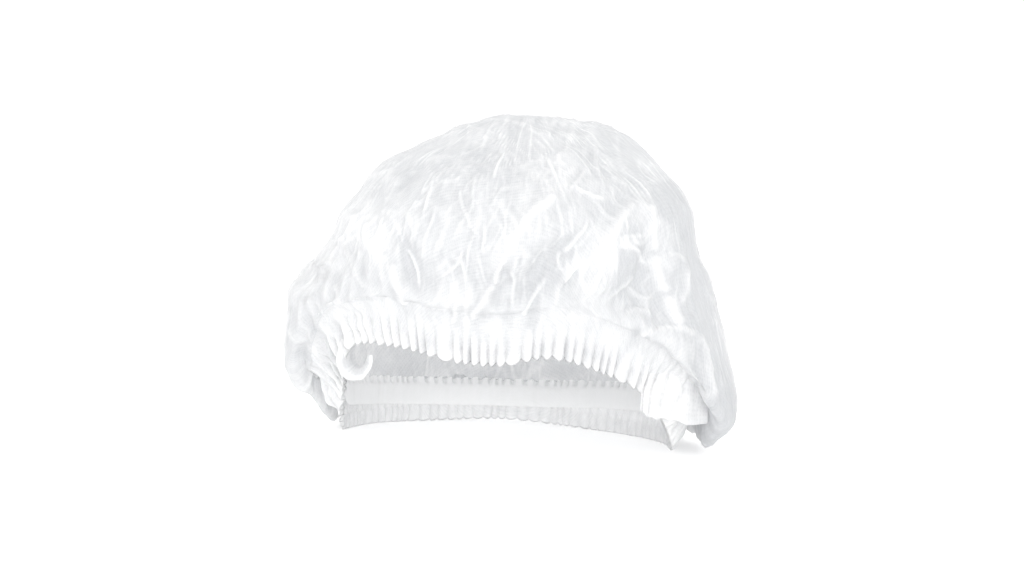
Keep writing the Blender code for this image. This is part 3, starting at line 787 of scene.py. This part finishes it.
# The elastic strip: the smooth fold of cloth over the elastic, inside the hem. Above it the web stands
# in small gathers, the ruffle, against the cap's wall.
strip = {
    "columns": 1040, "rows": 12, "gatherDepth": 0.00035, "roll": 0.0005, "seamAt": 0.03,
    "ruffleRows": 5, "ruffle": 0.0045,
}


def buildStrip():
    rim = rimAt(np.arange(strip["columns"]) / strip["columns"])
    turn = 2 * math.pi * rim["share"]
    ring = ringPoints(turn)
    ripple = field(ring, 0.045, 2.7) + 0.6 * field(ring, 0.02, 8.2)
    whole = crownReach + cap["gathered"] + 0 * turn
    rows, flat, pale = [], [], []
    for part in np.arange(strip["rows"] + 1) / strip["rows"]:
        climb = part * cap["elastic"]
        inset = strip["roll"] * (1 - (2 * part - 1) ** 8)
        inset = inset + strip["gatherDepth"] * ripple * (0.4 + 0.6 * part)
        rows.append(stripFace(rim, rim["frill"] + climb) - rim["outward"] * inset[:, None])
        flat.append(flatRing(turn, whole - climb))
        seam = math.exp(-((part - strip["seamAt"]) / 0.05) ** 2)
        pale.append(0.90 + 0.16 * ripple - 0.30 * seam)
    valley = smooth((pleatWave(rim["share"]) - 0.4) / 0.55)
    wall = 0.5 * cap["pleatDepth"] * (1 + rim["bunch"]) + cap["hemWall"] + cap["gap"]
    for part in np.arange(1, strip["ruffleRows"] + 1) / strip["ruffleRows"]:
        climb = cap["elastic"] + part * strip["ruffle"] * (1.0 - 0.35 * valley + 0.15 * ripple)
        outwards = mix(0.2, 1.0, valley) * wall * part ** 0.7
        rows.append(stripFace(rim, rim["frill"] + climb) + rim["outward"] * outwards[:, None])
        flat.append(flatRing(turn, whole - cap["elastic"] - part * strip["ruffle"]))
        # painted shade: the ruffle's valleys drawn darker than its ridges
        pale.append(mix(1.0, 0.35, valley))
    return ringCloth("elastic_strip_cloth", np.array(rows) + shift, np.array(flat), np.array(pale))


stripCloth = buildStrip()
print("strip:", len(stripCloth.data.polygons), "faces, area", round(surfaceArea(stripCloth), 4))


# The sealed end tabs. Their edges follow the photograph: places in mm on the picture's plane, and the
# depth in mm, at even steps. The left one hangs from the end of the hem and curls up like a hook. The
# right one is the folded end of the pleats, laid over the hem's corner.
tabs = {
    "columns": 60, "rows": 36,
    "leftOuter": (
        (-112, -36, -52), (-115, -51, -54), (-109, -62, -54),
        (-99, -63, -54), (-92.5, -56, -53), (-91, -47, -51)),
    "leftInner": (
        (-103, -40, -38), (-103, -48, -36), (-101, -53, -36),
        (-98, -54, -38), (-96, -51, -42), (-93.5, -48, -46)),
    "leftBowl": 0.002, "leftRipple": 0.0006, "leftSize": (0.034, 0.018),
    "rightTop": ((86, -51, -76), (96, -47, -70), (107, -46, -64), (119, -50, -58), (129, -58, -50)),
    "rightFoot": ((84, -84, -68), (91, -89, -66), (103, -90, -62), (116, -93, -57), (128, -92, -48)),
    "folds": 5.5, "foldDepth": 0.0035, "crumple": 0.0018, "rightBowl": 0.003, "scallop": 0.0016,
    "rightSize": (0.062, 0.032),
}


def onPicture(spots, depths):  # the points that the camera sees at spots of the picture, at depths
    out = np.array(bpy.context.scene.camera.matrix_world)
    plane = spots / (crown["focal"] * crown["pictureScale"])
    rays = np.concatenate([plane, -np.ones(plane.shape[:-1] + (1,))], -1) @ out[:3, :3].T
    reach = (depths - out[1, 3]) / rays[..., 1]
    return out[:3, 3] + rays * reach[..., None]


def edgeCurve(name):
    rows = np.array(tabs[name]) / 1000.0
    wanted = np.linspace(0.0, len(rows) - 1.0, tabs["columns"])
    return np.stack([throughTable(np.arange(len(rows)), rows[:, n], wanted) for n in range(3)], -1)


def tabCloth(name, grid, size, paleness):
    rows, columns = grid.shape[:2]
    index = np.arange(rows * columns).reshape(rows, columns)
    faces = np.stack([index[:-1, :-1], index[1:, :-1], index[1:, 1:], index[:-1, 1:]], -1)
    flat = np.stack(np.meshgrid(np.linspace(0, size[0], columns), np.linspace(0, size[1], rows)), -1)
    points = grid.reshape(-1, 3)
    return clothPiece(name, points, faces.reshape(-1, 4).tolist(), flat.reshape(-1, 2), paleness.ravel())


def buildLeftTab():
    across = np.linspace(0.0, 1.0, tabs["rows"])[:, None]
    spots = mix(edgeCurve("leftOuter"), edgeCurve("leftInner"), across[..., None])
    grid = onPicture(spots[..., :2], spots[..., 2])
    normal = unit(np.cross(np.gradient(grid, axis=1), np.gradient(grid, axis=0)))
    ripple = field(grid, 0.006, 3.3)
    rise = tabs["leftBowl"] * np.sin(math.pi * across) + tabs["leftRipple"] * ripple
    grid = grid + normal * rise[..., None]
    pale = 0.60 + 0.50 * np.exp(-(across / 0.22) ** 2) + 0.15 * ripple
    return tabCloth("end_tab_left_cloth", grid, tabs["leftSize"], pale)


def buildRightTab():
    down = np.linspace(0.0, 1.0, tabs["rows"])[:, None]
    across = np.linspace(0.0, 1.0, tabs["columns"])[None, :]
    spots = mix(edgeCurve("rightTop"), edgeCurve("rightFoot"), down[..., None])
    drift = 0.10 * field(spots * (1, 1, 0), 0.02, 2.6)
    wave = np.abs(np.sin(math.pi * tabs["folds"] * (across ** 0.8 + drift + 0.12 * down))) ** 0.8
    grow = smooth(down / 0.35) * (1 - 0.75 * smooth((across - 0.55) / 0.3))
    ripple = field(spots, 0.008, 5.2) + 0.5 * field(spots, 0.004, 1.2)
    depth = spots[..., 2] - (tabs["foldDepth"] * wave + tabs["crumple"] * ripple) * grow
    depth -= tabs["rightBowl"] * np.sin(math.pi * down)
    spots[..., 1] += tabs["scallop"] * wave * smooth((down - 0.8) / 0.2) * grow
    pale = 0.84 + 0.16 * wave * grow + 0.12 * ripple - 0.20 * smooth((across - 0.6) / 0.25)
    return tabCloth("end_tab_right_cloth", onPicture(spots[..., :2], depth), tabs["rightSize"], pale)


leftTab = buildLeftTab()
rightTab = buildRightTab()
print("tabs:", round(surfaceArea(leftTab) * 1e6), round(surfaceArea(rightTab) * 1e6), "mm2")


def linear(code):  # sRGB hex to linear
    parts = [int(code[n:n + 2], 16) / 255.0 for n in (1, 3, 5)]
    return tuple(p / 12.92 if p <= 0.04045 else ((p + 0.055) / 1.055) ** 2.4 for p in parts) + (1.0,)


def addNode(material, kind, settings=None, links=None):
    node = material.node_tree.nodes.new(kind)
    for name, value in (settings or {}).items():
        if isinstance(name, int) or name in node.inputs:
            node.inputs[name].default_value = value
        else:
            setattr(node, name, value)
    for name, source in (links or {}).items():
        material.node_tree.links.new(source, node.inputs[name])
    return node


# The bond points' real pitch is about 1.5 mm, drawn coarser so that it shows. Sizes in metres.
nonwoven = {
    "thin": "#C5C7CA", "folded": "#F8F8F8", "clearest": 0.92, "thickest": 0.98, "through": 0.29,
    "roughness": 0.72, "refraction": 1.49, "specular": 0.25, "sheen": 0.12,
    "bondPitch": 0.0024, "bondStrayness": 0.35, "bondDot": (0.12, 0.38), "bondPress": -0.11,
    "cloudSize": 0.009, "fibreLength": 0.012, "fibreWidth": 0.0011, "webShare": 0.34,
    "bumpStrength": 0.35, "bumpHeight": 0.00025,
}


def spunbond(name, look):
    # Spunbond polypropylene: endless fine fibres laid at random and pressed together at small points.
    # The eye gets a matt, cloudy white film, whitest and least clear where the cloth lies in folds.
    material = bpy.data.materials.new(name)
    material.use_nodes = True
    nodes, join = material.node_tree.nodes, material.node_tree.links.new
    place = addNode(material, "ShaderNodeUVMap", {"uv_map": "cloth"}).outputs[0]
    paleness = addNode(material, "ShaderNodeAttribute", {"attribute_name": "paleness"}).outputs["Fac"]
    bonds = addNode(material, "ShaderNodeTexVoronoi", {
        "voronoi_dimensions": "2D", "Scale": 1 / look["bondPitch"],
        "Randomness": look["bondStrayness"]}, {"Vector": place})
    dots = addNode(material, "ShaderNodeMapRange", {
        "From Min": look["bondDot"][0], "From Max": look["bondDot"][1], "To Min": 1.0, "To Max": 0.0},
        {"Value": bonds.outputs["Distance"]})
    clouds = addNode(material, "ShaderNodeTexNoise", {
        "noise_dimensions": "2D", "Scale": 1 / look["cloudSize"], "Detail": 4.0, "Roughness": 0.62},
        {"Vector": place})
    stretched = addNode(material, "ShaderNodeMapping", {
        "Scale": (1 / look["fibreWidth"], 1 / look["fibreLength"], 1.0)}, {"Vector": place})
    fibres = addNode(material, "ShaderNodeTexNoise", {
        "noise_dimensions": "2D", "Scale": 1.0, "Detail": 2.0, "Distortion": 0.6},
        {"Vector": stretched.outputs[0]})
    uneven = addNode(material, "ShaderNodeMath", {"operation": "ADD"}, {
        0: clouds.outputs["Fac"], 1: fibres.outputs["Fac"]})
    centred = addNode(material, "ShaderNodeMath", {
        "operation": "MULTIPLY_ADD", 1: look["webShare"], 2: -look["webShare"]}, {0: uneven.outputs[0]})
    body = addNode(material, "ShaderNodeMath", {"operation": "ADD", "use_clamp": True}, {
        0: paleness, 1: centred.outputs[0]})
    pressed = addNode(material, "ShaderNodeMath", {
        "operation": "MULTIPLY_ADD", 1: look["bondPress"], "use_clamp": True}, {
        0: dots.outputs[0], 2: body.outputs[0]}).outputs[0]
    colour = addNode(material, "ShaderNodeMix", {
        "data_type": "RGBA", 6: linear(look["thin"]), 7: linear(look["folded"])}, {0: pressed}).outputs[2]
    solid = addNode(material, "ShaderNodeMapRange", {
        "To Min": look["clearest"], "To Max": look["thickest"]}, {"Value": pressed})
    bump = addNode(material, "ShaderNodeBump", {
        "Strength": look["bumpStrength"], "Distance": look["bumpHeight"]}, {"Height": pressed}).outputs[0]
    shader = nodes["Principled BSDF"]
    for socket, value in (("Roughness", "roughness"), ("IOR", "refraction"),
                          ("Specular IOR Level", "specular"), ("Sheen Weight", "sheen")):
        shader.inputs[socket].default_value = look[value]
    join(colour, shader.inputs["Base Color"])
    join(bump, shader.inputs["Normal"])
    # light from behind comes through the web, and what is behind it shows between the fibres
    through = addNode(material, "ShaderNodeBsdfTranslucent", {}, {"Color": colour, "Normal": bump})
    web = addNode(material, "ShaderNodeMixShader", {0: look["through"]}, {
        1: shader.outputs[0], 2: through.outputs[0]})
    clear = addNode(material, "ShaderNodeBsdfTransparent")
    shown = addNode(material, "ShaderNodeMixShader", {}, {
        0: solid.outputs[0], 1: clear.outputs[0], 2: web.outputs[0]})
    join(shown.outputs[0], nodes["Material Output"].inputs["Surface"])
    return material


doubled = {**nonwoven, "folded": "#FDFDFD"}
crownMaterial = spunbond("white spunbond polypropylene, single web", nonwoven)
hemMaterial = spunbond("white spunbond polypropylene, doubled and pleated", doubled)
stripMaterial = spunbond("white spunbond polypropylene over elastic", {
    **nonwoven, "thin": "#F6F7F7", "folded": "#FEFEFE", "through": 0.34})
sealedMaterial = spunbond("white spunbond polypropylene, heat sealed", doubled)
print("materials made")


# The floor and the light: a white world, a little brighter overhead, and a wide soft lamp in front
light = {
    "walls": 1.09, "ceiling": 1.22, "riseFrom": 0.25, "riseTo": 0.85,
    "floor": "#F2F2F2", "floorSize": 12.0, "floorRoughness": 0.9, "floorGlow": 0.34,
    "key": 15.2, "keyWidth": 2.2, "keyHeight": 0.35,
    "keyPlace": (0.05, -2.40, 0.52), "keyAim": (0.0, 0.0, 0.1),
}


def buildWorld():
    world = bpy.data.worlds.new("studio")
    bpy.context.scene.world = world
    world.use_nodes = True
    nodes, join = world.node_tree.nodes, world.node_tree.links.new
    background = nodes["Background"]
    background.inputs["Color"].default_value = (1.0, 1.0, 1.0, 1.0)
    around = nodes.new("ShaderNodeTexCoord")
    parts = nodes.new("ShaderNodeSeparateXYZ")
    rise = nodes.new("ShaderNodeMapRange")
    rise.interpolation_type = "SMOOTHSTEP"
    for socket, value in (("From Min", "riseFrom"), ("From Max", "riseTo"),
                          ("To Min", "walls"), ("To Max", "ceiling")):
        rise.inputs[socket].default_value = light[value]
    join(around.outputs["Generated"], parts.inputs[0])
    join(parts.outputs["Z"], rise.inputs["Value"])
    join(rise.outputs[0], background.inputs["Strength"])


def buildFloor():
    bpy.ops.object.select_all(action="DESELECT")
    bpy.ops.mesh.primitive_plane_add(size=light["floorSize"], location=(0.0, 0.0, 0.0))
    floor = bpy.context.active_object
    floor.name = "floor"
    paper = bpy.data.materials.new("white backdrop paper")
    paper.use_nodes = True
    shader = paper.node_tree.nodes["Principled BSDF"]
    shader.inputs["Base Color"].default_value = linear(light["floor"])
    shader.inputs["Roughness"].default_value = light["floorRoughness"]
    shader.inputs["Emission Color"].default_value = (1.0, 1.0, 1.0, 1.0)
    shader.inputs["Emission Strength"].default_value = light["floorGlow"]
    floor.data.materials.append(paper)


def buildKey():
    data = bpy.data.lights.new("soft key", "AREA")
    data.energy = light["key"]
    data.shape = "RECTANGLE"
    data.size = light["keyWidth"]
    data.size_y = light["keyHeight"]
    lamp = bpy.data.objects.new("soft key", data)
    bpy.context.scene.collection.objects.link(lamp)
    lamp.location = light["keyPlace"]
    lamp.rotation_euler = (Vector(light["keyAim"]) - lamp.location).to_track_quat("-Z", "Y").to_euler()


buildWorld()
buildFloor()
buildKey()
bpy.context.scene.view_settings.view_transform = "Standard"
print("floor and light made")

# What each piece stands for
for piece, node, material, slotName in (
    (crownCloth, "crown", crownMaterial, "crown"),
    (hemCloth, "gathered_hem", hemMaterial, "gathered_hem"),
    (stripCloth, "elastic_strip", stripMaterial, "elastic_strip"),
    (leftTab, "end_tab_left", sealedMaterial, "end_tab_left"),
    (rightTab, "end_tab_right", sealedMaterial, "end_tab_right"),
):
    piece.data.materials.append(material)
    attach(piece, "root")
    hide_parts(node)
